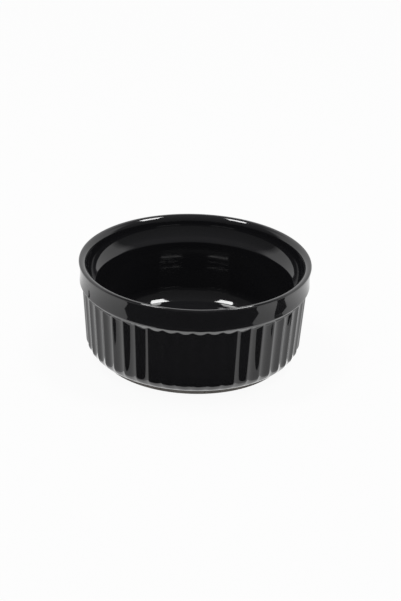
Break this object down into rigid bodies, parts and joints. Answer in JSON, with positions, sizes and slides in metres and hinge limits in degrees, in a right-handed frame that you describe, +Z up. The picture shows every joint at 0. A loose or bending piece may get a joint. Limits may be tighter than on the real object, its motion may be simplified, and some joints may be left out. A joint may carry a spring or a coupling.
{
  "type": "sauce bowl",
  "caption": "Round straight-sided glazed stoneware bowl with a fluted wall, a plain collar at the rim, a hollow inner shoulder and a bare foot ring, for sauces and single servings.",
  "frame": {"origin": "centre of the circle that the foot ring stands on", "axes": "+Z up along the bowl's axis; -Y is the side that faces the viewer"},
  "size_m": [0.09, 0.09, 0.0395],
  "materials": {
    "bare_stoneware": "fired unglazed stoneware, matt and slightly gritty, wiped bare on the foot ring",
    "black_glaze": "black gloss glaze, glassy and slightly wavy, thin on the ridges and pooled in the flutes",
    "base_glaze": "black gloss glaze in the recess under the base"
  },
  "bodies": {
    "root": {"stoneware_body": "bare_stoneware", "glaze_coat": "black_glaze", "base_glaze": "base_glaze"}
  },
  "joints": []
}
